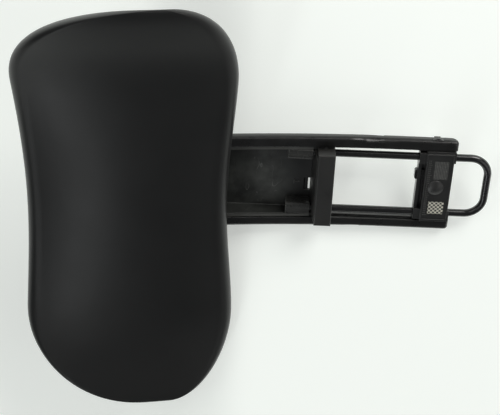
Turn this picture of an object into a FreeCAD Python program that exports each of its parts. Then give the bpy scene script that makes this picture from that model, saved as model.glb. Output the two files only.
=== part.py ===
import FreeCAD, Part
import math
import os
import re

# Chair headrest attachment, in millimetres.
# +X is the sitter's left, -Y the front (towards the head), +Z up. The origin is on the axis of the
# anchor's threaded insert, in the plane of the two guide rod legs. A word that ends in _front is a
# distance forward of that plane, and one that ends in _back is a distance behind it.

os.makedirs("parts", exist_ok=True)
doc = FreeCAD.newDocument("headrest")
sheet = doc.addObject("Spreadsheet::Sheet", "Sizes")

SIZES = {
    # clearances
    "running_gap": 0.05, "fit_gap": 0.1, "seam_gap": 0.3, "open_cut": 1.0,
    # guide rod and the stem's travel along it
    "rod_radius": 2.5, "rod_offset": 20.75, "rod_top": 95.0, "loop_drop": 33.2, "loop_bend": 12.0,
    "cap_thick": 1.4, "stem_travel": 50.0, "cap_room": 2.6, "catch_room": 2.8,
    # anchor block
    "block_bottom": 10.0, "block_top": 12.2, "front_cover": 1.5, "back_cover": 2.5, "block_side": 1.35,
    "strip_front": 1.0, "strip_thick": 2.2, "groove_back": 1.5, "groove_tall": 2.3, "boss_side": 1.25,
    "flange_reach": 1.5, "flange_cover": 0.9, "flange_bottom": 11.2, "foot_side": 0.25, "foot_round": 1.2,
    "plate_thick": 1.2, "plate_side": 1.6, "plate_inset": 0.8, "plate_round": 1.6, "plate_screw_off": 13.0,
    "plate_screw_drop": 6.5, "set_screw_up": 6.0, "set_screw_radius": 1.85,
    "insert_radius": 3.6, "insert_bore": 2.5, "insert_depth": 7.0, "insert_floor": 1.4,
    "dome_radius": 5.4, "dome_rise": 1.6, "label_gap": 1.1, "label_wide": 12.8, "label_drop": 6.8,
    "label_up": 2.0, "label_sink": 0.35,
    # catch
    "catch_x": 7.4, "catch_half": 3.5, "catch_rise": 1.7, "catch_round": 1.4, "catch_front": 0.2,
    "catch_back": 3.1, "catch_low": 4.0, "spring_back": 1.45, "spring_low": 3.7, "spring_bore": 1.6,
    "bore_depth": 2.5, "coil_radius": 1.05, "wire_radius": 0.22, "coil_pitch": 0.42,
    # rails and stop pegs
    "rail_width": 6.8, "rail_front": 2.4, "rail_back": 5.2, "rail_bottom": 12.0, "rail_above": 19.0,
    "curve_radius": 945.0, "curve_start": 24.5, "rail_round": 2.4, "front_nose": 2.5, "back_nose": 5.0,
    "lip_gap": 0.6, "lip_back": 2.0, "lip_front": 0.01, "lip_below": 0.7, "lip_inset": 0.8,
    "peg_up": 1.6, "peg_half": 2.0, "peg_start": 0.2, "peg_skin": 0.45,
    "barb_half": 3.7, "barb_rise": 0.9, "barb_back": 0.2, "barb_width": 3.6,
    # pan, band and guides
    "floor_gap": 3.5, "pan_skin": 2.0, "pan_above": 16.0, "pan_rim": 0.9,
    "band_tall": 11.0, "band_front": 15.0, "band_round": 0.8, "undercut_deep": 1.2, "undercut_front": 7.0,
    "riser_front": 13.6, "riser_ledge": 0.5, "riser_tall": 2.7, "band_screw_off": 12.0, "band_screw_up": 5.0,
    "sleeve_wall": 0.75, "guide_side": 1.1, "guide_cover": 1.1, "guide_tall": 16.1, "guide_round": 2.0,
    "pocket_centre": 6.6, "pocket_half": 4.6, "pocket_depth": 1.2, "pocket_tall": 4.0, "slit_tall": 1.3,
    "cover_side": 2.0, "cover_thick": 1.6, "cover_up": 5.6, "cover_down": 3.0, "cover_round": 2.6,
    "cover_screw_side": 4.0, "cover_screw_in": 6.0,
    # stem head and hinge
    "head_tall": 31.0, "head_rear": 5.0, "head_front": 15.0, "head_round": 2.6,
    "neck_ahead": 3.0, "neck_behind": 4.0, "side_screw_low": 4.0, "side_screw_high": 12.0,
    "hinge_above": 9.5, "hinge_front": 11.0, "knuckle_radius": 6.0, "knuckle_half": 12.0,
    "pin_radius": 2.5, "pin_end": 2.4, "washer_radius": 5.4, "washer_thick": 0.8, "ear_thick": 3.0,
    "ear_radius": 6.5, "clip_radius": 4.4, "clip_thick": 0.8,
    "bracket_thick": 2.0, "bracket_reach": 7.0, "bracket_half": 14.0, "bracket_round": 2.6,
    "bracket_screw_off": 3.4, "bracket_screw_up": 9.0,
    # pad, with heights measured from the hinge
    "pad_half": 139.6, "bulge_up": 74.6, "bulge_down": 60.6, "waist_up": 71.3, "waist_down": 55.2,
    "waist_half": 98.8, "corner_down": 17.1, "corner_start": 80.6, "corner_power": 2.2,
    "pad_edge": 27.0, "pad_wing": 35.0, "wing_power": 3.4, "wing_twist": 0.19, "wing_cup": 3.5,
    "pad_thick": 16.4, "pad_crown": 4.0, "pad_hollow": 2.0, "pad_taper": 27.0,
    "recess_half": 62.0, "recess_down": 34.5, "recess_up": 49.5, "recess_front": 28.0,
    "core_thick": 2.0, "core_gap": 0.5, "post_radius": 4.0, "rear_front": 20.0, "rear_thick": 2.4,
    "rear_round": 6.0, "rear_screw_in": 8.0, "hatch_reach": 3.4, "hatch_half": 11.0,
    # screws
    "screw_radius": 1.5, "screw_head": 2.7, "head_thick": 0.8, "head_sink": 0.1,
    "plate_shank": 5.0, "band_shank": 6.0, "cover_shank": 2.0, "bracket_shank": 3.6, "rear_shank": 3.4,
    "side_shank": 16.0, "side_sink": 0.9, "tap_end": 0.5,
}
# Sums that place one piece from another. Their words can be used in any sum below.
SUMS = {
    "block_front": "rod_radius + front_cover", "block_back": "rod_radius + back_cover",
    "block_half": "rod_offset + rod_radius + block_side",
    "plateau_top": "block_top - strip_thick - groove_tall",
    "groove_half": "rod_offset - rod_radius - boss_side", "foot_inner": "rod_offset - rod_radius - foot_side",
    "flange_half": "block_half + flange_reach", "flange_front": "rod_radius + flange_cover",
    "plate_half": "block_half - plate_side", "plate_back": "block_back + plate_thick",
    "label_start": "dome_radius + label_gap", "label_end": "label_start + label_wide",
    "lip_inner": "block_half + lip_gap", "peg_inner": "lip_inner + seam_gap",
    "rail_inner": "flange_half + seam_gap", "rail_outer": "rail_inner + rail_width",
    "sleeve_radius": "rod_radius + sleeve_wall", "pan_inner": "rod_offset + sleeve_radius",
    "pan_half": "rail_inner - 2 * fit_gap", "pan_floor": "rod_radius + floor_gap",
    "pan_back": "pan_floor + pan_skin", "cover_back": "pan_back + cover_thick",
    "band_bottom": "block_top + catch_rise + stem_travel + catch_room", "band_top": "band_bottom + band_tall",
    "lip_top": "band_bottom - lip_below", "undercut_half": "pan_half - undercut_deep",
    "riser_half": "pan_inner - 2 * fit_gap", "step_top": "band_top + riser_tall",
    "guide_inner": "rod_offset - sleeve_radius - guide_side", "guide_front": "rod_radius + guide_cover",
    "guide_top": "step_top + guide_tall", "head_bottom": "rod_top + cap_thick + stem_travel + cap_room",
    "head_top": "head_bottom + head_tall", "hinge_height": "head_top + hinge_above",
    "rail_top": "head_bottom + rail_above", "pan_top": "head_bottom + pan_above",
    "cover_half": "pan_inner - cover_side", "cover_screw_off": "cover_half - cover_screw_side",
    "cover_bottom": "step_top + cover_up", "cover_top": "head_bottom - cover_down",
    "ear_inner": "knuckle_half + fit_gap + washer_thick", "ear_outer": "ear_inner + ear_thick",
    "core_back": "core_thick - recess_front", "rear_inner": "-rear_front - rear_thick",
    "recess_bottom": "hinge_height - recess_down", "recess_top": "hinge_height + recess_up",
}
for row, (word, value) in enumerate(SIZES.items(), start=1):
    sheet.set(f"A{row}", word)
    sheet.set(f"B{row}", str(value))
    sheet.setAlias(f"B{row}", word)
doc.recompute()

X_AXIS = FreeCAD.Rotation(FreeCAD.Vector(0, 1, 0), 90)
Y_AXIS = FreeCAD.Rotation(FreeCAD.Vector(1, 0, 0), -90)
Z_AXIS = FreeCAD.Rotation()
nodes = []


def size(word):
    return float(sheet.get(word))


def formula(text):
    """The expression for a sum, down to the sheet's own words."""
    def cell(match):
        word = match[0]
        if word in SUMS:
            return "(" + formula(SUMS[word]) + ")"
        return "Sizes." + word if word in SIZES else word

    return re.sub(r"\b[a-z][a-z_]+\b", cell, text)


def bind(obj, **sums):
    for prop, text in sums.items():
        obj.setExpression(prop, formula(text))
    return obj


def at(obj, x, y, z, turn=Z_AXIS):
    obj.Placement = FreeCAD.Placement(FreeCAD.Vector(), turn)
    for axis, text in zip("xyz", (x, y, z)):
        obj.setExpression("Placement.Base." + axis, formula(text))
    return obj


def box(x, y, z):
    """A box from three (low, high) pairs of sums."""
    obj = doc.addObject("Part::Box", "Block")
    bind(obj, Length=f"({x[1]}) - ({x[0]})", Width=f"({y[1]}) - ({y[0]})", Height=f"({z[1]}) - ({z[0]})")
    return at(obj, x[0], y[0], z[0])


def both(sum_):
    """The pair that runs the same distance either side of the middle."""
    return f"-({sum_})", sum_


def about(middle, half):
    return f"({middle}) - ({half})", f"({middle}) + ({half})"


def rod(radius, length, x, y, z, turn=Z_AXIS):
    """A cylinder from (x, y, z) along +X, +Y or +Z."""
    return at(bind(doc.addObject("Part::Cylinder", "Round"), Radius=radius, Height=length), x, y, z, turn)


def hole_y(radius, x, y, z):
    """A cylinder about an axis along Y, between a (low, high) pair of sums."""
    return rod(radius, f"({y[1]}) - ({y[0]})", x, y[0], z, Y_AXIS)


def hole_x(radius, x, y, z):
    return rod(radius, f"({x[1]}) - ({x[0]})", x[0], y, z, X_AXIS)


def fuse(*parts):
    obj = doc.addObject("Part::MultiFuse", "Union")
    obj.Shapes = list(parts)
    obj.Refine = True
    return obj


def cut(base, *tools):
    obj = doc.addObject("Part::Cut", "Cut")
    obj.Base = base
    obj.Tool = tools[0] if len(tools) == 1 else fuse(*tools)
    return obj


def common(first, second):
    obj = doc.addObject("Part::Common", "Common")
    obj.Base, obj.Tool = first, second
    return obj


def mirrored(part):
    obj = doc.addObject("Part::Mirroring", "Mirror")
    obj.Source = part
    obj.Normal = FreeCAD.Vector(1, 0, 0)
    return obj


def group(*parts):
    """Separate solids in one sub-part."""
    obj = doc.addObject("Part::Compound", "Group")
    obj.Links = list(parts)
    return obj


def rounded(base, word, pick):
    """Fillets every edge that pick accepts, given the edge, its middle and the solid's bounds."""
    doc.recompute()
    bounds = base.Shape.BoundBox
    chosen = []
    for number, edge in enumerate(base.Shape.Edges, start=1):
        middle = edge.valueAt((edge.FirstParameter + edge.LastParameter) / 2)
        if pick(edge, middle, bounds):
            chosen.append((number, size(word), size(word)))
    obj = doc.addObject("Part::Fillet", "Rounded")
    obj.Base = base
    obj.Edges = chosen
    return obj


def node(label, obj):
    obj.Label = label
    nodes.append(obj)
    return obj


def runs_along(edge, axis):
    """True where an edge is straight and parallel to an axis letter."""
    ends = [v.Point for v in edge.Vertexes]
    if len(ends) < 2:
        return False
    along = ends[1] - ends[0]
    others = [abs(getattr(along, a)) for a in "xyz" if a != axis]
    return max(others) < 1e-4 < abs(getattr(along, axis))


def upright(edge, middle, bounds):
    return runs_along(edge, "y")


def near(value, target):
    return abs(value - target) < 0.02


def screw(x, y, z, shank, letter):
    """A flat head screw whose head ends at (x, y, z) and whose shank runs against the axis."""
    turn = {"x": X_AXIS, "y": Y_AXIS}[letter]

    def behind(step):
        place = {"x": x, "y": y, "z": z}
        place[letter] = f"({place[letter]}) - ({step})"
        return place["x"], place["y"], place["z"]

    cap = rod("screw_head", "head_thick", *behind("head_thick"), turn)
    stalk = rod("screw_radius", shank, *behind(f"head_thick + {shank}"), turn)
    socket = rod("screw_radius * 0.7", "head_thick * 0.7", *behind("head_thick * 0.7"), turn)
    return cut(fuse(cap, stalk), socket)


# ---- guide rod ------------------------------------------------------------------------------------

LEGS = ("rod_offset", "-rod_offset")
leg_low = "-(loop_drop - loop_bend)"
legs = [rod("rod_radius", f"rod_top - ({leg_low})", x, "0", leg_low) for x in LEGS]
bends = []
for x, start in (("rod_offset - loop_bend", 270), ("loop_bend - rod_offset", 180)):
    bend = bind(doc.addObject("Part::Torus", "Bend"), Radius1="loop_bend", Radius2="rod_radius")
    bend.Angle3 = 90
    turn = FreeCAD.Rotation(FreeCAD.Vector(1, 0, 0), 90) * FreeCAD.Rotation(FreeCAD.Vector(0, 0, 1), start)
    bends.append(at(bend, x, "0", leg_low, turn))
cross = hole_x("rod_radius", both("rod_offset - loop_bend"), "0", "-loop_drop")
node("guide_rod", fuse(*legs, *bends, cross))
node("rod_end_caps", group(*[rod("rod_radius - fit_gap", "cap_thick", x, "0", "rod_top") for x in LEGS]))

# ---- anchor ---------------------------------------------------------------------------------------

core = box(both("block_half"), ("-strip_front", "block_back"), ("-block_bottom", "block_top"))
plateau = box(both("block_half"), ("-block_front", "0"), ("-block_bottom", "plateau_top"))


def block_corner(sign):
    """The flange, the foot and the boss round one rod, on the side that sign gives."""
    def reach(inner, outer):
        return (inner, outer) if sign > 0 else (f"-({outer})", f"-({inner})")

    foot = box(reach("foot_inner", "flange_half"), ("-flange_front", "-seam_gap"),
               ("-flange_bottom", "plateau_top"))
    boss = box(reach("groove_half", "block_half"), ("-flange_front", "0"),
               ("plateau_top - open_cut", "block_top"))
    return [foot, boss]


back_flange = box(both("flange_half"), ("lip_back + seam_gap", "block_back"),
                  ("peg_up + peg_half + fit_gap", "block_top"))
groove = box(both("groove_half"), ("-block_front", "groove_back"), ("plateau_top", "block_top - strip_thick"))
rod_bores = [rod("rod_radius + running_gap", "flange_bottom + block_top + 2 * open_cut", x, "0",
                 "-flange_bottom - open_cut") for x in LEGS]
insert_hole = hole_y("insert_radius + running_gap", "0",
                     ("block_back - insert_depth", "block_back + open_cut"), "0")
catch_slot = box(about("catch_x", "catch_half + fit_gap"), ("-catch_front - fit_gap", "catch_back + fit_gap"),
                 ("-catch_low", "block_top + open_cut"))
label_slot = box(("label_start - fit_gap", "label_end + fit_gap"),
                 ("-block_front - open_cut", "-block_front + label_sink"),
                 ("-label_drop - fit_gap", "label_up + fit_gap"))
PLATE_SPOTS = ("plate_screw_off", "-plate_screw_off")
plate_taps = [hole_y("screw_radius", x, ("plate_back - head_sink - head_thick - plate_shank - tap_end",
                                         "block_back + open_cut"), "-plate_screw_drop") for x in PLATE_SPOTS]
set_holes = [hole_y("set_screw_radius + running_gap", x, ("0", "block_back + open_cut"), "set_screw_up")
             for x in LEGS]
block = rounded(fuse(core, plateau, *block_corner(1), *block_corner(-1), back_flange), "foot_round",
                lambda e, m, b: runs_along(e, "y") and near(m.z, b.ZMin) and near(abs(m.x), b.XMax))
node("anchor_block", cut(block, groove, *rod_bores, insert_hole, catch_slot, label_slot, *plate_taps,
                         *set_holes))

plate = box(both("plate_half"), ("block_back", "plate_back"),
            ("-block_bottom + plate_inset", "block_top - plate_inset"))
plate = rounded(plate, "plate_round", upright)
plate_span = ("block_back - open_cut", "plate_back + open_cut")
plate_holes = [hole_y("insert_radius - running_gap", "0", plate_span, "0")]
plate_holes += [hole_y("screw_radius + fit_gap", x, plate_span, "-plate_screw_drop") for x in PLATE_SPOTS]
plate_holes += [hole_y("screw_head + fit_gap", x, ("plate_back - head_sink - head_thick",
                                                   "plate_back + open_cut"), "-plate_screw_drop")
                for x in PLATE_SPOTS]
node("anchor_back_plate", cut(plate, *plate_holes))
node("anchor_plate_screws", group(*[
    screw(x, "plate_back - head_sink", "-plate_screw_drop", "plate_shank", "y") for x in PLATE_SPOTS]))
insert = hole_y("insert_radius", "0", ("block_back - insert_depth + fit_gap", "block_back"), "0")
insert_bore = hole_y("insert_bore", "0", ("block_back - insert_depth + insert_floor",
                                          "block_back + open_cut"), "0")
node("anchor_insert", cut(insert, insert_bore))
node("rod_set_screws", group(*[
    hole_y("set_screw_radius", x, ("rod_radius + running_gap", "block_back - seam_gap"), "set_screw_up")
    for x in LEGS]))

dome_ball = bind(doc.addObject("Part::Sphere", "Ball"),
                 Radius="(dome_radius * dome_radius + dome_rise * dome_rise) / (2 * dome_rise)")
at(dome_ball, "0", "-block_front - dome_rise + (dome_radius * dome_radius + dome_rise * dome_rise)"
                   " / (2 * dome_rise)", "0")
dome_zone = box(both("dome_radius"), ("-block_front - dome_rise - open_cut", "-block_front"),
                both("dome_radius"))
node("anchor_dome", common(dome_ball, dome_zone))
node("anchor_label", box(("label_start", "label_end"),
                         ("-block_front + running_gap", "-block_front + label_sink"),
                         ("-label_drop", "label_up")))

catch_body = box(about("catch_x", "catch_half"), ("-catch_front", "catch_back"),
                 ("catch_low", "block_top + catch_rise"))
catch_body = rounded(catch_body, "catch_round", lambda e, m, b: runs_along(e, "y") and near(m.z, b.ZMax))
node("catch_button", cut(catch_body, rod("spring_bore", "bore_depth", "catch_x", "spring_back", "catch_low")))
coil_count = round((size("spring_low") + size("catch_low") + size("bore_depth")) / size("coil_pitch"))
coils = [at(bind(doc.addObject("Part::Torus", "Coil"), Radius1="coil_radius", Radius2="wire_radius"),
            "catch_x", "spring_back", f"{turn} * coil_pitch - spring_low") for turn in range(coil_count)]
node("catch_spring", fuse(*coils))

# ---- rails and stop pegs --------------------------------------------------------------------------


def big_round(radius, x):
    """A cylinder about the rails' centre of curvature, which lies in front of the stem."""
    return hole_x(radius, x, "-curve_radius", "curve_start")


def lean(z):
    """How far forward the rails have curved at height z."""
    return f"(curve_radius - sqrt(curve_radius * curve_radius - ({z} - curve_start) * ({z} - curve_start)))"


low = box(("rail_inner", "rail_outer"), ("-rail_front", "rail_back"), ("-rail_bottom", "curve_start"))
low = rounded(low, "front_nose",
              lambda e, m, b: runs_along(e, "x") and near(m.z, b.ZMin) and near(m.y, b.YMin))
low = rounded(low, "back_nose",
              lambda e, m, b: runs_along(e, "x") and near(m.z, b.ZMin) and near(m.y, b.YMax))
sweep = cut(big_round("curve_radius + rail_back", ("rail_inner", "rail_outer")),
            big_round("curve_radius - rail_front", ("rail_inner - open_cut", "rail_outer + open_cut")))
zone = box(("rail_inner - open_cut", "rail_outer + open_cut"),
           (f"-{lean('rail_top')} - 2 * rail_front", "rail_back"), ("curve_start", "rail_top"))
rail = rounded(fuse(low, common(sweep, zone)), "rail_round", lambda e, m, b: near(m.x, b.XMax)
               and not near(m.z, b.ZMax) and not near(m.z, size("curve_start")))
lip = box(("lip_inner", "rail_inner + seam_gap"), ("-lip_front", "lip_back"),
          ("-rail_bottom + lip_inset", "lip_top"))
peg_slot = box(("lip_inner - open_cut", "rail_outer + open_cut"),
               ("peg_start - running_gap", "rail_back - peg_skin + running_gap"),
               about("peg_up", "peg_half + running_gap"))
SIDE_SPOTS = [(f"-{lean(z)} + (rail_back - rail_front) / 2", z)
              for z in ("head_bottom + side_screw_low", "head_bottom + side_screw_high")]
side_holes = [hole_x("screw_radius + fit_gap", ("rail_inner - open_cut", "rail_outer"), y, z)
              for y, z in SIDE_SPOTS]
side_sinks = [hole_x("screw_head + fit_gap", ("rail_outer - side_sink - head_thick",
                                              "rail_outer + open_cut"), y, z) for y, z in SIDE_SPOTS]
rail = cut(fuse(rail, lip), peg_slot, *side_holes, *side_sinks)
node("rail_left", rail)
node("rail_right", mirrored(rail))

peg_shank = box(("peg_inner", "rail_outer + running_gap"), ("peg_start", "rail_back - peg_skin"),
                about("peg_up", "peg_half"))
barb = bind(doc.addObject("Part::Wedge", "Barb"), Xmin="-barb_width / 2", Xmax="barb_width / 2", Ymin="0",
            Ymax="barb_rise", Zmin="-barb_half", Zmax="barb_half", X2min="-seam_gap", X2max="seam_gap",
            Z2min="-2 * seam_gap", Z2max="2 * seam_gap")
at(barb, "rail_outer + running_gap / 2", "barb_back", "peg_up",
   FreeCAD.Rotation(FreeCAD.Vector(0, 0, 1), -90))
node("rail_stop_pegs", group(fuse(peg_shank, barb), mirrored(peg_shank)))

# ---- pan, band and guides -------------------------------------------------------------------------

through_floor = ("pan_floor - open_cut", "pan_back + open_cut")
floor = box(both("pan_half"), ("pan_floor", "pan_back"), ("band_bottom", "pan_top"))
wall = box(("pan_inner", "pan_half"), (f"-{lean('pan_top')} - 2 * rail_front", "pan_floor + open_cut"),
           ("band_top + fit_gap", "pan_top"))
scoop = big_round("curve_radius - pan_rim", both("pan_half + open_cut"))
walls = cut(fuse(wall, mirrored(wall)), scoop)
pocket = box(about("-pocket_centre", "pocket_half"), ("pan_floor - open_cut", "pan_floor + pocket_depth"),
             ("step_top + seam_gap", "step_top + seam_gap + pocket_tall"))
slit = box(about("-pocket_centre", "pocket_half"), through_floor,
           ("step_top + seam_gap", "step_top + seam_gap + slit_tall"))
side_span = ("-rail_inner", "rail_inner")
wall_holes = [hole_x("screw_radius + fit_gap", side_span, y, z) for y, z in SIDE_SPOTS]
COVER_SPOTS = [(x, z) for x in ("cover_screw_off", "-cover_screw_off")
               for z in ("cover_bottom + cover_screw_in", "cover_top - cover_screw_in")]
cover_taps = [hole_y("screw_radius", x, through_floor, z) for x, z in COVER_SPOTS]
BAND_SPOTS = [(x, "band_bottom + band_screw_up") for x in ("band_screw_off", "-band_screw_off")]
band_holes = [hole_y("screw_radius + fit_gap", x, through_floor, z) for x, z in BAND_SPOTS]
band_sinks = [hole_y("screw_head + fit_gap", x, ("pan_back - head_sink - head_thick",
                                                 "pan_back + open_cut"), z) for x, z in BAND_SPOTS]
node("stem_pan", cut(fuse(floor, walls), pocket, slit, *wall_holes, *cover_taps, *band_holes, *band_sinks))

bar = box(both("pan_half"), ("-band_front", "pan_floor"), ("band_bottom", "band_top"))
bar = rounded(bar, "band_round", lambda e, m, b: near(m.y, b.YMin))
riser = bind(doc.addObject("Part::Wedge", "Riser"), Xmin="-riser_half", Xmax="riser_half", Ymin="0",
             Ymax="pan_floor + riser_front", Zmin="band_top - open_cut", Zmax="step_top", X2min="-riser_half",
             X2max="riser_half", Z2min="band_top - open_cut", Z2max="band_top + riser_ledge")
at(riser, "0", "pan_floor", "0", FreeCAD.Rotation(FreeCAD.Vector(0, 0, 1), 180))
undercut = box(("undercut_half", "pan_half + open_cut"), ("-undercut_front", "pan_floor + open_cut"),
               ("band_bottom - open_cut", "band_top + open_cut"))
band_rods = [rod("rod_radius + running_gap", "step_top - band_bottom + 2 * open_cut", x, "0",
                 "band_bottom - open_cut") for x in LEGS]
band_taps = [hole_y("screw_radius", x, ("pan_back - head_sink - head_thick - band_shank - tap_end",
                                        "pan_floor + open_cut"), z) for x, z in BAND_SPOTS]
node("cross_band", cut(fuse(bar, riser), undercut, mirrored(undercut), *band_rods, *band_taps))
node("band_screws", group(*[
    screw(x, "pan_back - head_sink", z, "band_shank", "y") for x, z in BAND_SPOTS]))

sleeve_hole = rod("sleeve_radius + running_gap", "guide_top - step_top + 2 * open_cut", "rod_offset", "0",
                  "step_top - open_cut")
guide = box(("guide_inner", "pan_inner - fit_gap"), ("-guide_front", "pan_floor"),
            ("step_top + fit_gap", "guide_top"))
guide = rounded(guide, "guide_round", lambda e, m, b: runs_along(e, "z") and near(m.y, b.YMin)
                and near(m.x, b.XMin))
guide = cut(guide, sleeve_hole)
node("rod_guides", group(guide, mirrored(guide)))
sleeve_bore = rod("rod_radius + running_gap", "guide_top - step_top + 2 * open_cut", "rod_offset", "0",
                  "step_top - open_cut")
sleeve = cut(rod("sleeve_radius", "guide_top - step_top - 2 * fit_gap", "rod_offset", "0",
                 "step_top + fit_gap"), sleeve_bore)
node("rod_sleeves", group(sleeve, mirrored(sleeve)))

cover = box(both("cover_half"), ("pan_back", "cover_back"), ("cover_bottom", "cover_top"))
cover = rounded(cover, "cover_round", upright)
cover_span = ("pan_floor", "cover_back + open_cut")
sinks = [hole_y("screw_radius + fit_gap", x, cover_span, z) for x, z in COVER_SPOTS]
sinks += [hole_y("screw_head + fit_gap", x, ("cover_back - head_sink - head_thick",
                                             "cover_back + open_cut"), z) for x, z in COVER_SPOTS]
node("pan_cover", cut(cover, *sinks))
node("pan_cover_screws", group(*[
    screw(x, "cover_back - head_sink", z, "cover_shank", "y") for x, z in COVER_SPOTS]))

# ---- stem head and hinge --------------------------------------------------------------------------

slab = box(both("pan_inner - fit_gap"), ("-head_front", "-head_rear"), ("head_bottom", "head_top"))
slab = rounded(slab, "head_round", lambda e, m, b: runs_along(e, "y") and near(m.z, b.ZMax))
neck = box(both("knuckle_half"), ("-hinge_front - neck_ahead", "-hinge_front + neck_behind"),
           ("head_top - 2 * open_cut", "hinge_height"))
knuckle = hole_x("knuckle_radius", both("knuckle_half"), "-hinge_front", "hinge_height")
pin_bore = hole_x("pin_radius + running_gap", both("ear_outer + pin_end"), "-hinge_front", "hinge_height")
side_tip = "rail_outer - side_sink - head_thick - side_shank - tap_end"
side_taps = [hole_x("screw_radius", (side_tip, "pan_inner"), y, z) for y, z in SIDE_SPOTS]
node("stem_head", cut(fuse(slab, neck, knuckle), pin_bore, *side_taps, *[mirrored(t) for t in side_taps]))
side_screws = [screw("rail_outer - side_sink", y, z, "side_shank", "x") for y, z in SIDE_SPOTS]
node("head_screws", group(*side_screws, *[mirrored(s) for s in side_screws]))

bracket = box(both("ear_outer + bracket_reach"), ("core_back", "core_back + bracket_thick"),
              about("hinge_height", "bracket_half"))
bracket = rounded(bracket, "bracket_round", upright)
ear_plate = box(("ear_inner", "ear_outer"), ("core_back + bracket_thick / 2", "-hinge_front"),
                about("hinge_height", "ear_radius"))
ear = fuse(ear_plate, hole_x("ear_radius", ("ear_inner", "ear_outer"), "-hinge_front", "hinge_height"))
BRACKET_SPOTS = [(x, z) for x in both("ear_outer + bracket_screw_off")
                 for z in about("hinge_height", "bracket_screw_up")]
bracket_holes = [hole_y("screw_radius + fit_gap", x, ("core_back - open_cut",
                                                      "core_back + 2 * bracket_thick"), z)
                 for x, z in BRACKET_SPOTS]
node("hinge_bracket", cut(fuse(bracket, ear, mirrored(ear)), pin_bore, *bracket_holes))
node("bracket_screws", group(*[
    screw(x, "core_back + bracket_thick + head_thick", z, "bracket_shank", "y")
    for x, z in BRACKET_SPOTS]))
node("hinge_pin", hole_x("pin_radius", both("ear_outer + pin_end"), "-hinge_front", "hinge_height"))


def ring(radius, x):
    return cut(hole_x(radius, x, "-hinge_front", "hinge_height"), pin_bore)


washer = ring("washer_radius", ("knuckle_half + fit_gap / 2", "ear_inner - fit_gap / 2"))
node("hinge_washers", group(washer, mirrored(washer)))
clip = ring("clip_radius", ("ear_outer + fit_gap", "ear_outer + fit_gap + clip_thick"))
node("pin_clips", group(clip, mirrored(clip)))

# ---- pad ------------------------------------------------------------------------------------------

core_plate = box(both("recess_half - core_gap"), ("-recess_front", "core_back"),
                 ("recess_bottom + core_gap", "recess_top - core_gap"))
REAR_SPOTS = [(x, z) for x in both("recess_half - rear_screw_in")
              for z in ("recess_bottom + rear_screw_in", "recess_top - rear_screw_in")]
posts = [hole_y("post_radius", x, ("core_back - fit_gap", "rear_inner"), z) for x, z in REAR_SPOTS]
post_taps = [hole_y("screw_radius", x, ("-rear_front - 2 * head_sink - head_thick - rear_shank - tap_end",
                                        "rear_inner + open_cut"), z) for x, z in REAR_SPOTS]
core_taps = [hole_y("screw_radius", x, ("-recess_front - open_cut", "core_back + open_cut"), z)
             for x, z in BRACKET_SPOTS]
node("pad_core_plate", cut(fuse(core_plate, *posts), *post_taps, *core_taps))

rear = box(both("recess_half - seam_gap"), ("rear_inner", "-rear_front"),
           ("recess_bottom + seam_gap", "recess_top - seam_gap"))
rear = rounded(rear, "rear_round", upright)
rear_span = ("rear_inner - open_cut", "-rear_front + open_cut")
hatch = box(both("ear_outer + hatch_reach"), rear_span, about("hinge_height", "hatch_half"))
rear_holes = [hole_y("screw_radius + fit_gap", x, rear_span, z) for x, z in REAR_SPOTS]
rear_holes += [hole_y("screw_head + fit_gap", x, ("-rear_front - 2 * head_sink - head_thick",
                                                  "-rear_front + open_cut"), z) for x, z in REAR_SPOTS]
node("pad_rear_cover", cut(rear, hatch, *rear_holes))
node("rear_cover_screws", group(*[
    screw(x, "-rear_front - 2 * head_sink", z, "rear_shank", "y") for x, z in REAR_SPOTS]))


def pad_section(x):
    """The pad's closed outline in the plane at x, with heights from the hinge: a curved strip with
    round top and bottom edges."""
    span = abs(x) / size("pad_half")
    wave = (1 - math.cos(math.pi * min(abs(x) / size("waist_half"), 1))) / 2
    corner = max(abs(x) - size("corner_start"), 0) / (size("pad_half") - size("corner_start"))
    shrink = (1 - corner ** size("corner_power")) ** (1 / size("corner_power"))
    centre = -size("corner_down")
    top = size("waist_up") + wave * (size("bulge_up") - size("waist_up"))
    bottom = -size("waist_down") - wave * (size("bulge_down") - size("waist_down"))
    top = centre + shrink * (top - centre)
    bottom = centre + shrink * (bottom - centre)
    full = size("pad_half") - size("pad_taper")
    taper = math.sqrt(max(1 - (max(abs(x) - full, 0) / size("pad_taper")) ** 2, 0.0025))
    half = min(size("pad_thick") / 2 * taper, (top - bottom) / 2.2)
    middle, reach = (top + bottom) / 2, (top - bottom) / 2 - half
    swell = max(0.0, 1 - span ** 2)

    def front(z):
        lift = size("wing_twist") * (z - centre) - size("wing_cup") * ((z - centre) / 66) ** 2
        return size("pad_edge") + size("pad_wing") * span ** size("wing_power") + span ** 2 * lift

    def arch(k):
        return (1 - (k / 6.5) ** 2) * swell

    points = []
    for k in range(-6, 7):
        z = middle + reach * k / 6.5
        points.append(FreeCAD.Vector(x, -(front(z) + half + size("pad_crown") * arch(k)), z))
    for k in range(1, 6):
        z = middle + reach + half * math.sin(math.pi * k / 6)
        points.append(FreeCAD.Vector(x, -(front(z) + half * math.cos(math.pi * k / 6)), z))
    for k in range(6, -7, -1):
        z = middle + reach * k / 6.5
        points.append(FreeCAD.Vector(x, -(front(z) - half + size("pad_hollow") * arch(k)), z))
    for k in range(1, 6):
        z = middle - reach - half * math.sin(math.pi * k / 6)
        points.append(FreeCAD.Vector(x, -(front(z) - half * math.cos(math.pi * k / 6)), z))
    curve = Part.BSplineCurve()
    curve.interpolate(points, PeriodicFlag=True)
    return Part.Wire(curve.toShape())


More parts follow.
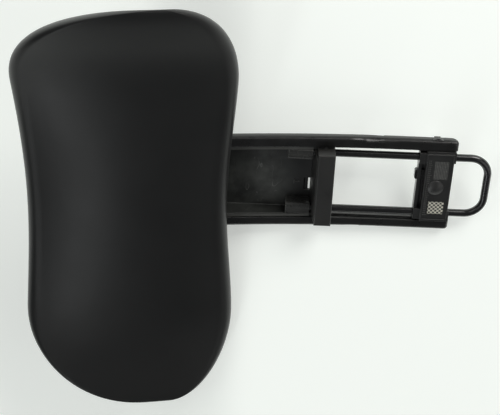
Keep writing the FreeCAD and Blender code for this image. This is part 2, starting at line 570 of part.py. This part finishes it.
STATIONS = (0, 0.14, 0.28, 0.42, 0.54, 0.65, 0.75, 0.835, 0.9, 0.945, 0.975, 0.992)
stations = [share * size("pad_half") for share in STATIONS]
sections = [pad_section(x) for x in [-s for s in reversed(stations[1:])] + stations]
pillow = doc.addObject("Part::Feature", "Pillow")
pillow.Shape = Part.makeLoft(sections, True, False)
at(pillow, "0", "0", "hinge_height")
recess = box(both("recess_half"), ("-recess_front", "0"), ("recess_bottom", "recess_top"))
node("pad_foam", cut(pillow, recess))

# ---- checks and export ----------------------------------------------------------------------------

doc.recompute()
for obj in doc.Objects:
    if "Invalid" in obj.State or "Error" in obj.State:
        raise RuntimeError(f"{obj.Label} did not compute")
for obj in nodes:
    shape = obj.Shape
    if shape.isNull() or not shape.isValid() or shape.Volume <= 0:
        raise RuntimeError(f"{obj.Label} has no sound shape")
    shape.exportStep(f"parts/{obj.Label}.step")
    print(obj.Label, len(shape.Solids), round(shape.Volume), shape.BoundBox)
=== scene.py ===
import math

import bmesh
import bpy
from mathutils import Matrix, Vector


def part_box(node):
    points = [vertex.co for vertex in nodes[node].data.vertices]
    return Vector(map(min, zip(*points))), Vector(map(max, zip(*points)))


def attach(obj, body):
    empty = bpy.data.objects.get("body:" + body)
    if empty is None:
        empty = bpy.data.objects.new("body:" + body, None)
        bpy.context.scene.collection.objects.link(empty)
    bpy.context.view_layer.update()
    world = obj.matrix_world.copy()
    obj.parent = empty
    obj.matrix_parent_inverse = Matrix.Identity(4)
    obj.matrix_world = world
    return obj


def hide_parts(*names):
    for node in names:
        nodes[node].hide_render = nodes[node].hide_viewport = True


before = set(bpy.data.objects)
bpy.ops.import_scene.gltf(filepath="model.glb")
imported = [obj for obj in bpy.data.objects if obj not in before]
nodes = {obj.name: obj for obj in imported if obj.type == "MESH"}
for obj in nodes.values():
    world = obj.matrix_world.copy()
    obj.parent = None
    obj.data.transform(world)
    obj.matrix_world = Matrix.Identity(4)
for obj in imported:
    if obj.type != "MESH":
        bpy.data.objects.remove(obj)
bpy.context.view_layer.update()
scene = bpy.context.scene
MM = 0.001


# ---- small helpers -------------------------------------------------------------------------------

def new_object(name, mesh):
    obj = bpy.data.objects.new(name, mesh)
    scene.collection.objects.link(obj)
    return obj


def mesh_from(name, verts, faces, smooth=True):
    mesh = bpy.data.meshes.new(name)
    mesh.from_pydata(verts, [], faces)
    mesh.validate()
    for p in mesh.polygons:
        p.use_smooth = smooth
    return new_object(name, mesh)


def ladder(steps):
    """Faces between successive pairs of vertices."""
    return [(2 * k, 2 * k + 1, 2 * k + 3, 2 * k + 2) for k in range(steps)]


def applied(obj):
    """Replaces obj's mesh by its modified mesh."""
    bpy.context.view_layer.update()
    done = bpy.data.meshes.new_from_object(obj.evaluated_get(bpy.context.evaluated_depsgraph_get()))
    obj.modifiers.clear()
    obj.data = done
    return obj


# ---- materials -----------------------------------------------------------------------------------

class Paint:
    """A node tree under construction, around one Principled shader."""

    def __init__(self, name):
        self.mat = bpy.data.materials.new(name)
        self.mat.use_nodes = True
        self.tree = self.mat.node_tree
        self.tree.nodes.clear()
        self.out = self.add("ShaderNodeOutputMaterial")
        self.bsdf = self.add("ShaderNodeBsdfPrincipled")
        self.link(self.bsdf.outputs["BSDF"], self.out.inputs["Surface"])
        self.coord = self.add("ShaderNodeTexCoord").outputs["Object"]

    def add(self, kind, **values):
        n = self.tree.nodes.new(kind)
        for key, value in values.items():
            setattr(n, key, value)
        return n

    def link(self, a, b):
        self.tree.links.new(a, b)

    def stretched(self, x, y, z):
        m = self.add("ShaderNodeMapping")
        m.inputs["Scale"].default_value = (x, y, z)
        self.link(self.coord, m.inputs["Vector"])
        return m.outputs["Vector"]

    def noise(self, scale, detail=4.0, rough=0.55, where=None):
        n = self.add("ShaderNodeTexNoise")
        n.inputs["Scale"].default_value = scale
        n.inputs["Detail"].default_value = detail
        n.inputs["Roughness"].default_value = rough
        self.link(where or self.coord, n.inputs["Vector"])
        return n.outputs["Fac"]

    def cells(self, scale):
        n = self.add("ShaderNodeTexVoronoi")
        n.inputs["Scale"].default_value = scale
        self.link(self.coord, n.inputs["Vector"])
        return n.outputs["Distance"]

    def remap(self, value, low, high, to_low, to_high):
        n = self.add("ShaderNodeMapRange")
        for key, v in (("From Min", low), ("From Max", high), ("To Min", to_low), ("To Max", to_high)):
            n.inputs[key].default_value = v
        self.link(value, n.inputs["Value"])
        return n.outputs["Result"]

    def maths(self, kind, a, b):
        n = self.add("ShaderNodeMath")
        n.operation = kind
        for socket, v in zip(n.inputs, (a, b)):
            if isinstance(v, (int, float)):
                socket.default_value = v
            else:
                self.link(v, socket)
        return n.outputs[0]

    def blend(self, fac, first, second):
        n = self.add("ShaderNodeMix")
        n.data_type = "RGBA"
        self.link(fac, n.inputs[0])
        for socket, v in ((n.inputs[6], first), (n.inputs[7], second)):
            if isinstance(v, tuple):
                socket.default_value = (*v, 1)
            else:
                self.link(v, socket)
        return n.outputs[2]

    def edges(self, radius):
        """How much the rounded normal differs from the flat one: 1 at an edge."""
        n = self.add("ShaderNodeBevel", samples=4)
        n.inputs["Radius"].default_value = radius
        geo = self.add("ShaderNodeNewGeometry")
        dot = self.add("ShaderNodeVectorMath", operation="DOT_PRODUCT")
        self.link(n.outputs["Normal"], dot.inputs[0])
        self.link(geo.outputs["Normal"], dot.inputs[1])
        return self.remap(dot.outputs["Value"], 0.999, 0.9, 0.0, 1.0), n.outputs["Normal"]

    def bump(self, height, strength, distance, normal=None):
        n = self.add("ShaderNodeBump")
        n.inputs["Strength"].default_value = strength
        n.inputs["Distance"].default_value = distance
        self.link(height, n.inputs["Height"])
        if normal is not None:
            self.link(normal, n.inputs["Normal"])
        return n.outputs["Normal"]

    def finish(self, colour, rough, normal, **constants):
        """Joins the three varying inputs, and sets what is the same all over on the shader's own sockets."""
        for socket, value in (("Base Color", colour), ("Roughness", rough), ("Normal", normal)):
            self.link(value, self.bsdf.inputs[socket])
        for key, value in constants.items():
            self.bsdf.inputs[key.replace("_", " ")].default_value = value
        return self.mat


def plastic(name, dark, light, rough, grain=9000, grain_depth=0.00004, wear=0.0, edge=0.0005):
    """Moulded plastic: fine spark texture, cloudy tone and lighter edges, partly rubbed wear and partly
    painted highlight.
    """
    p = Paint(name)
    cloud = p.noise(38, 5)
    colour = p.blend(p.remap(cloud, 0.35, 0.7, 0, 1), dark, light)
    # The lighter edges are rubbed wear and also a painted highlight where rounded edges would catch the
    # light.
    lighter_mask, soft = p.edges(edge)
    colour = p.blend(p.maths("MULTIPLY", lighter_mask, wear), colour, tuple(min(1, c * 2.6 + 0.02) for c in light))
    fine = p.noise(grain, 2)
    roughness = p.remap(p.noise(120, 4), 0.3, 0.7, rough - 0.06, rough + 0.07)
    return p.finish(colour, roughness, p.bump(fine, 0.35, grain_depth, soft), Specular_IOR_Level=0.5)


def metal(name, tone, rough, brush=(1, 1, 1), brush_scale=900, edge=0.0003, coat=0.0, metallic=1.0):
    p = Paint(name)
    streak = p.noise(brush_scale, 3, 0.6, p.stretched(*brush))
    colour = p.blend(p.remap(streak, 0.3, 0.7, 0, 1), tuple(c * 0.82 for c in tone), tone)
    lighter_mask, soft = p.edges(edge)
    colour = p.blend(p.maths("MULTIPLY", lighter_mask, 0.3), colour, tuple(min(1, c * 1.25 + 0.02) for c in tone))
    roughness = p.remap(streak, 0.3, 0.7, rough - 0.05, rough + 0.08)
    return p.finish(colour, roughness, p.bump(streak, 0.12, 0.00003, soft), Metallic=metallic,
                    Coat_Weight=coat, Coat_Roughness=0.08)


def pad_skin():
    """Self-skinned soft foam: very fine matt grain, slight mottling, a few specks of dust."""
    p = Paint("soft_pad_skin")
    cloud = p.noise(14, 4)
    colour = p.blend(p.remap(cloud, 0.3, 0.75, 0, 1), (0.0092, 0.0095, 0.0095), (0.0126, 0.0129, 0.0128))
    speck = p.remap(p.cells(260), 0.0, 0.035, 1, 0)
    few = p.remap(p.noise(55, 2), 0.62, 0.66, 0, 0.35)
    colour = p.blend(p.maths("MULTIPLY", speck, few), colour, (0.25, 0.24, 0.22))
    pores = p.maths("MULTIPLY", p.cells(2600), 0.7)
    grain = p.maths("ADD", pores, p.maths("MULTIPLY", p.noise(6500, 2), 0.5))
    roughness = p.remap(p.noise(30, 4), 0.3, 0.7, 0.36, 0.42)
    return p.finish(colour, roughness, p.bump(grain, 0.3, 0.00009), Specular_IOR_Level=0.25,
                    Sheen_Weight=0.02, Sheen_Roughness=0.5)


def pan_skin(middle):
    """The pan's moulding: scuffed lighter in the middle of its floor and darker towards the band, where the
    darkness is painted shade.
    """
    p = Paint("pan_black_plastic")
    away = p.add("ShaderNodeVectorMath", operation="DISTANCE")
    p.link(p.coord, away.inputs[0])
    away.inputs[1].default_value = middle
    # Lighter and scuffed near the middle, darker further out: the darkness near the band is painted shade.
    lighter_mask = p.remap(away.outputs["Value"], 0.012, 0.034, 1, 0)
    cloud = p.remap(p.noise(70, 6, 0.65), 0.32, 0.62, 0.15, 1)
    colour = p.blend(p.maths("MULTIPLY", lighter_mask, cloud), (0.0085, 0.0088, 0.0085), (0.056, 0.060, 0.054))
    offset = p.maths("ABSOLUTE", p.maths("SUBTRACT", p.noise(75, 1, 0.4, p.stretched(1, 1, 2.2)), 0.5), 0)
    lines = p.maths("MULTIPLY", p.remap(offset, 0.0, 0.012, 1, 0), p.remap(p.noise(110, 2), 0.5, 0.6, 0, 0.7))
    colour = p.blend(p.maths("MULTIPLY", lines, lighter_mask), colour, (0.16, 0.165, 0.155))
    # Lighter edges, the rim most: a painted highlight where the rounded rim catches the light.
    edge, soft = p.edges(0.0011)
    colour = p.blend(p.maths("MULTIPLY", edge, 0.6), colour, (0.08, 0.082, 0.077))
    roughness = p.remap(cloud, 0.15, 1, 0.36, 0.55)
    return p.finish(colour, roughness, p.bump(p.noise(9000, 2), 0.3, 0.00003, soft), Specular_IOR_Level=0.5)


def ruled_film():
    """Grey film with faint plain rules, standing where a printed panel would be."""
    p = Paint("ruled_label_film")
    rules = p.add("ShaderNodeTexWave", bands_direction="Z")
    p.link(p.coord, rules.inputs["Vector"])
    rules.inputs["Scale"].default_value = 300
    rules.inputs["Distortion"].default_value = 1.5
    cloud = p.noise(900, 3)
    lines = p.remap(rules.outputs["Fac"], 0.3, 0.8, 0.2, 1)
    shade = p.maths("MULTIPLY", lines, p.remap(cloud, 0.35, 0.65, 0.4, 1))
    colour = p.blend(shade, (0.030, 0.031, 0.030), (0.125, 0.125, 0.118))
    return p.finish(colour, p.remap(cloud, 0.3, 0.7, 0.4, 0.5), p.bump(cloud, 0.2, 0.00002),
                    Specular_IOR_Level=0.4)


def chequer_film():
    """A pale square with a plain, regular chequer."""
    p = Paint("chequer_film")
    squares = p.add("ShaderNodeTexChecker")
    p.link(p.coord, squares.inputs["Vector"])
    squares.inputs["Scale"].default_value = 720
    wear = p.noise(700, 3)
    colour = p.blend(squares.outputs["Fac"], (0.035, 0.035, 0.034), (0.72, 0.71, 0.60))
    colour = p.blend(p.remap(wear, 0.3, 0.7, 0, 0.35), colour, (0.16, 0.155, 0.14))
    return p.finish(colour, p.remap(wear, 0.3, 0.7, 0.4, 0.5), p.bump(wear, 0.2, 0.00002),
                    Specular_IOR_Level=0.4)


SATIN = plastic("satin_black_plastic", (0.0048, 0.0048, 0.0049), (0.0085, 0.0084, 0.0080), 0.30, wear=0.6,
                edge=0.001)
BLOCK = plastic("block_black_plastic", (0.0110, 0.0112, 0.0112), (0.0180, 0.0180, 0.0172), 0.38, wear=0.6)
BAND = plastic("band_black_plastic", (0.0110, 0.0108, 0.0102), (0.0160, 0.0155, 0.0142), 0.46, grain=6500,
               grain_depth=0.00007, wear=0.4)
# The pan's rim strip is lighter plastic: a painted highlight along the rim's rounded edge.
RIM_HIGHLIGHT = plastic("pan_rim_highlight_plastic", (0.055, 0.056, 0.052), (0.080, 0.081, 0.075), 0.4)
# A near-black strip for the rails' groove line: painted shade.
SEAM_SHADE = plastic("seam_shadow_plastic", (0.0012, 0.0012, 0.0012), (0.0022, 0.0022, 0.0022), 0.7)
GUIDE = plastic("guide_black_plastic", (0.022, 0.0225, 0.0215), (0.036, 0.0365, 0.034), 0.26, wear=0.8,
                edge=0.0012)
PAN = pan_skin(nodes["stem_pan"].matrix_world.inverted() @ Vector((-0.004, 0.006, 0.120)))
ACETAL = plastic("acetal_black", (0.0045, 0.0045, 0.0045), (0.0080, 0.0080, 0.0080), 0.26, wear=0.3)
LABEL = ruled_film()
CHEQUER = chequer_film()
ROD = metal("black_rod", (0.0060, 0.0060, 0.0062), 0.22, brush=(1, 1, 0.05), coat=0.3, metallic=0.0)
BRACKET = metal("black_bracket_steel", (0.030, 0.030, 0.031), 0.42, brush=(0.2, 1, 1), metallic=0.5, coat=0.2)
ZINC = metal("zinc_plated_steel", (0.55, 0.55, 0.54), 0.32, brush=(1, 1, 1), brush_scale=400)
BRASS = metal("turned_brass", (0.72, 0.55, 0.27), 0.26, brush=(1, 6, 1), brush_scale=500)
SKIN = pad_skin()

FINISHES = {
    SATIN: ["rail_left", "rail_right", "stem_head", "pan_cover", "pad_core_plate", "pad_rear_cover"],
    BLOCK: ["anchor_block", "anchor_dome"],
    GUIDE: ["rod_guides"],
    BAND: ["cross_band"],
    PAN: ["stem_pan"],
    ACETAL: ["rod_end_caps", "catch_button", "rail_stop_pegs", "rod_sleeves", "hinge_washers"],
    LABEL: ["anchor_label"],
    ROD: ["guide_rod"],
    BRACKET: ["hinge_bracket"],
    ZINC: ["anchor_back_plate", "anchor_plate_screws", "rod_set_screws", "catch_spring", "band_screws",
           "pan_cover_screws", "head_screws", "bracket_screws", "hinge_pin", "pin_clips",
           "rear_cover_screws"],
    BRASS: ["anchor_insert"],
    SKIN: ["pad_foam"],
}
for material, names in FINISHES.items():
    for name in names:
        mesh = nodes[name].data
        mesh.materials.clear()
        mesh.materials.append(material)


# ---- pad -----------------------------------------------------------------------------------------

# The pad's form in millimetres. Its crown is fuller than the plain solid's, as a soft skin's is.
PAD = dict(half=139.6, bulge_top=264.1, bulge_bottom=128.9, waist_top=260.8, waist_bottom=134.3,
           waist_half=98.8, corner=172.4, start=80.6, power=2.2, edge=27.0, wing=35.0, wing_power=3.4,
           twist=0.19, cup=3.5, thick=16.4, crown=8.0, hollow=2.0, taper=27.0)


def pad_ring(x, shrink, thin):
    """One closed section of the pad at x, in millimetres."""
    d = PAD
    span = abs(x) / d["half"]
    wave = (1 - math.cos(math.pi * min(abs(x) / d["waist_half"], 1))) / 2
    top = d["waist_top"] + wave * (d["bulge_top"] - d["waist_top"])
    bottom = d["waist_bottom"] + wave * (d["bulge_bottom"] - d["waist_bottom"])
    top = d["corner"] + shrink * (top - d["corner"])
    bottom = d["corner"] + shrink * (bottom - d["corner"])
    half = min(d["thick"] / 2 * thin, (top - bottom) / 2.2)
    middle, reach = (top + bottom) / 2, (top - bottom) / 2 - half
    swell = max(0.0, 1 - span ** 2)

    def front(z):
        lean = d["twist"] * (z - d["corner"]) - d["cup"] * ((z - d["corner"]) / 66) ** 2
        return d["edge"] + d["wing"] * span ** d["wing_power"] + span ** 2 * lean

    ring = []
    flat, turn = 40, 16
    for side, bulge in ((1, d["crown"]), (-1, d["hollow"])):
        for k in range(flat + 1):
            u = side * (2 * k / flat - 1)
            z = middle + reach * u
            ring.append((x, -(front(z) + side * half + bulge * (1 - u * u) * swell), z))
        for k in range(1, turn):
            a = math.pi * k / turn
            z = middle + side * (reach + half * math.sin(a))
            ring.append((x, -(front(z) + side * half * math.cos(a)), z))
    return [tuple(c * MM for c in p) for p in ring]


def pad_stations():
    d = PAD
    room = d["half"] - d["start"]
    full = d["half"] - d["taper"]
    out = [(d["start"] * k / 18, 1.0) for k in range(18)]
    for k in range(31):
        a = math.radians(89.2) * k / 30
        out.append((d["start"] + room * math.sin(a) ** (2 / d["power"]), math.cos(a) ** (2 / d["power"])))
    side = []
    for x, shrink in out:
        thin = math.sqrt(max(1 - (max(x - full, 0) / d["taper"]) ** 2, 0.0016))
        side.append((x, shrink, thin))
    return [(-x, s, t) for x, s, t in reversed(side[1:])] + side


def make_pad():
    rings = [pad_ring(*s) for s in pad_stations()]
    n = len(rings[0])
    verts = [p for ring in rings for p in ring]
    faces = []
    for r in range(len(rings) - 1):
        for k in range(n):
            a, b = r * n + k, r * n + (k + 1) % n
            faces.append((a, b, b + n, a + n))
    faces.append(tuple(range(n - 1, -1, -1)))
    last = (len(rings) - 1) * n
    faces.append(tuple(range(last, last + n)))
    pad = mesh_from("pad_moulding", verts, faces)
    bm = bmesh.new()
    bm.from_mesh(pad.data)
    bmesh.ops.recalc_face_normals(bm, faces=bm.faces)
    bm.to_mesh(pad.data)
    bm.free()
    low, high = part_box("pad_rear_cover")
    cutter = mesh_from("recess_cutter", [
        (x, y, z) for x in (low.x - 0.0003, high.x + 0.0003) for y in (-0.028, 0.0)
        for z in (low.z - 0.0003, high.z + 0.0003)],
        [(0, 1, 3, 2), (4, 6, 7, 5), (0, 4, 5, 1), (2, 3, 7, 6), (0, 2, 6, 4), (1, 5, 7, 3)], False)
    hole = pad.modifiers.new("recess", "BOOLEAN")
    hole.operation = "DIFFERENCE"
    hole.object = cutter
    hole.solver = "EXACT"
    applied(pad)
    bpy.data.objects.remove(cutter)
    pad.data.materials.clear()
    pad.data.materials.append(SKIN)
    return pad


pad = make_pad()
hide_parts("pad_foam")
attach(pad, "pad")


# ---- small moulded details, and strips of painted shade and painted highlight --------------------

def bars(name, body, material, spans):
    """Small raised bars as one piece, from (x0, x1, y0, y1, z0, z1) spans in millimetres."""
    verts, faces = [], []
    for x0, x1, y0, y1, z0, z1 in spans:
        n = len(verts)
        verts += [(x * MM, y * MM, z * MM) for x in (x0, x1) for y in (y0, y1) for z in (z0, z1)]
        faces += [tuple(n + k for k in f) for f in (
            (0, 1, 3, 2), (4, 6, 7, 5), (0, 4, 5, 1), (2, 3, 7, 6), (0, 2, 6, 4), (1, 5, 7, 3))]
    piece = mesh_from(name, verts, faces, False)
    piece.data.materials.append(material)
    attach(piece, body)
    return piece


RIBBON_STEPS, RAIL_RADIUS, RAIL_BEND_FROM = 45, 945, 24.5


def ribbon(name, material, x, y, z):
    """A thin strip along the stem that follows the rails' curve, between (low, high) pairs in millimetres."""
    verts = []
    for k in range(RIBBON_STEPS + 1):
        height = z[0] + (z[1] - z[0]) * k / RIBBON_STEPS
        forward = RAIL_RADIUS - math.sqrt(RAIL_RADIUS ** 2 - max(height - RAIL_BEND_FROM, 0) ** 2)
        verts += [(x[e] * MM, (y[e] - forward) * MM, height * MM) for e in (0, 1)]
    strip = mesh_from(name, verts, ladder(RIBBON_STEPS), False)
    strip.data.materials.append(material)
    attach(strip, "stem")


# Along each rail: a near-black strip of painted shade on its outer face, and a lighter strip of painted
# highlight on the pan's rim.
for side, word in ((1, "left"), (-1, "right")):
    ribbon("rail_seam_shade_" + word, SEAM_SHADE, (side * 33.24, side * 33.24), (-0.2, 0.4), (-7, 167.5))
    ribbon("pan_rim_highlight_" + word, RIM_HIGHLIGHT, (side * 24.2, side * 26.1), (-1.56, -1.56), (80.6, 164.5))

FACE = -4.0  # the anchor block's front face
frame_bars = [(-24.2, 24.2, FACE - 0.25, FACE + 0.05, z, z + 0.5) for z in (-9.6, 6.9)]
frame_bars += [(x, x + 0.5, FACE - 0.25, FACE + 0.05, -9.6, 7.4) for x in (-24.4, 23.9)]
TICKS, PITCH = 28, 1.5
ticks = [(-21 + PITCH * k, -20.5 + PITCH * k, FACE - 0.15, FACE + 0.05, 4.4 if k % 5 else 3.6, 6.2)
         for k in range(TICKS)]
bars("block_frame", "anchor", BLOCK, frame_bars)
bars("block_scale", "anchor", LABEL, ticks)
bars("blank_code_square", "anchor", CHEQUER,
     [(-19.8, -10.6, FACE - 0.06, FACE + 0.02, -6.8, 3.2)])
bars("pan_rib_mark", "stem", LABEL,
     [(-6.6, -3.2, 5.5, 6.1, 91.0, 91.5), (-5.1, -4.6, 5.5, 6.1, 87.4, 91.2)])


# ---- backdrop, lamps and camera ------------------------------------------------------------------

def backdrop_material():
    """Pale paper. What the camera sees is partly its own light, and mirrors see it as light as that."""
    mat = bpy.data.materials.new("pale_backdrop")
    mat.use_nodes = True
    t = mat.node_tree
    t.nodes.clear()
    new, link = t.nodes.new, t.links.new
    out, path, geo = new("ShaderNodeOutputMaterial"), new("ShaderNodeLightPath"), new("ShaderNodeNewGeometry")
    paper, lit, glow = new("ShaderNodeBsdfDiffuse"), new("ShaderNodeBsdfDiffuse"), new("ShaderNodeEmission")
    paper.inputs["Color"].default_value = (0.80, 0.81, 0.80, 1)
    lit.inputs["Color"].default_value = (0.66, 0.70, 0.67, 1)
    glow.inputs["Color"].default_value = (0.93, 0.95, 0.915, 1)
    shine = new("ShaderNodeMapRange")
    shine.inputs["To Min"].default_value, shine.inputs["To Max"].default_value = 0.46, 0.8
    link(path.outputs["Is Glossy Ray"], shine.inputs["Value"])
    link(shine.outputs["Result"], glow.inputs["Strength"])
    seen, hide = new("ShaderNodeMath"), new("ShaderNodeMath")
    both, shown, last = new("ShaderNodeAddShader"), new("ShaderNodeMixShader"), new("ShaderNodeMixShader")
    clear = new("ShaderNodeBsdfTransparent")
    link(lit.outputs[0], both.inputs[0])
    link(glow.outputs[0], both.inputs[1])
    seen.operation = hide.operation = "MAXIMUM"
    link(path.outputs["Is Camera Ray"], seen.inputs[0])
    link(path.outputs["Is Glossy Ray"], seen.inputs[1])
    link(seen.outputs[0], shown.inputs[0])
    link(paper.outputs[0], shown.inputs[1])
    link(both.outputs[0], shown.inputs[2])
    link(geo.outputs["Backfacing"], hide.inputs[0])
    link(path.outputs["Is Shadow Ray"], hide.inputs[1])
    link(hide.outputs[0], last.inputs[0])
    link(shown.outputs[0], last.inputs[1])
    link(clear.outputs[0], last.inputs[2])
    link(last.outputs[0], out.inputs["Surface"])
    return mat


# The object lies on its right rail and beside the pad's right wing, so the paper is tilted under it.
# Behind the pad it dips, which leaves room for the pad to tip back at any height.
FOOT = Vector((-0.0332, 0.0056))
WING_GAP, DIP, DIP_FROM, DIP_TO = 0.0045, 0.040, 0.118, 0.200
slope = min((FOOT.y - v.co.y - WING_GAP) / (FOOT.x - v.co.x) for v in pad.data.vertices if v.co.x < -0.09)
heights = [-2.4] + [0.100 + 0.0055 * k for k in range(24)] + [2.6]
paper = []
for height in heights:
    ramp = min(max((height - DIP_FROM) / (DIP_TO - DIP_FROM), 0), 1)
    dip = DIP * ramp * ramp * (3 - 2 * ramp)
    paper += [(FOOT.x + reach, FOOT.y + slope * reach + dip, height) for reach in (-2.2, 2.2)]
backdrop = mesh_from("backdrop", paper, ladder(len(heights) - 1))
backdrop.data.materials.append(backdrop_material())
if backdrop.data.polygons[0].normal.y > 0:
    backdrop.data.flip_normals()

world = bpy.data.worlds.new("studio")
scene.world = world
world.use_nodes = True
t = world.node_tree
t.nodes.clear()
new, link = t.nodes.new, t.links.new
sky_out, seen, room = new("ShaderNodeOutputWorld"), new("ShaderNodeBackground"), new("ShaderNodeBackground")
seen.inputs["Color"].default_value = (0.94, 0.95, 0.94, 1)
room.inputs["Color"].default_value = (0.9, 0.93, 0.95, 1)
room.inputs["Strength"].default_value = 0.15
path, mix = new("ShaderNodeLightPath"), new("ShaderNodeMixShader")
link(path.outputs["Is Camera Ray"], mix.inputs[0])
link(room.outputs[0], mix.inputs[1])
link(seen.outputs[0], mix.inputs[2])
link(mix.outputs[0], sky_out.inputs["Surface"])


def softbox(name, place, aim, width, height, power, colour=(1, 1, 1)):
    lamp = bpy.data.lights.new(name, "AREA")
    lamp.shape = "RECTANGLE"
    lamp.size, lamp.size_y, lamp.energy, lamp.color = width, height, power, colour
    obj = new_object(name, lamp)
    obj.location = place
    obj.rotation_euler = (Vector(aim) - Vector(place)).to_track_quat("-Z", "Y").to_euler()
    return obj


softbox("key", (1.31, -0.50, -0.68), (0, 0, 0.1), 0.8, 0.8, 15.5, (1.0, 0.985, 0.96))
softbox("top_left", (1.0, -1.3, 1.0), (0, 0, 0.12), 1.3, 1.3, 5, (1.0, 0.99, 0.97))
softbox("fill", (-0.1, -1.2, -1.1), (0, 0, 0.12), 1.2, 1.2, 3.5, (1.0, 0.995, 0.98))
softbox("strip", (-0.69, -1.12, 0.70), (0, -0.04, 0.23), 1.5, 0.14, 4.2, (0.97, 1.0, 1.0))
softbox("behind", (-0.5, 1.1, 0.7), (0, 0, 0.12), 0.8, 0.8, 3, (0.97, 0.98, 1.0))

TILT, ROLL, FOCAL_PX = math.radians(32.0), math.radians(2.37), 1180.0
look = Vector((-math.sin(TILT), math.cos(TILT), 0))
right0 = Vector((0, 0, -1))
down0 = look.cross(right0)
right = right0 * math.cos(ROLL) - down0 * math.sin(ROLL)
down = right0 * math.sin(ROLL) + down0 * math.cos(ROLL)
camera = bpy.data.cameras.new("camera")
camera.sensor_width = 36.0
camera.lens = FOCAL_PX * 36.0 / 500.0
camera.clip_start, camera.clip_end = 0.01, 20
eye = new_object("camera", camera)
turn = Matrix((right, -down, -look)).transposed().to_4x4()
eye.matrix_world = Matrix.Translation(Vector((0.3905, -0.6623, 0.1195))) @ turn
scene.camera = eye

scene.view_settings.view_transform = "Standard"
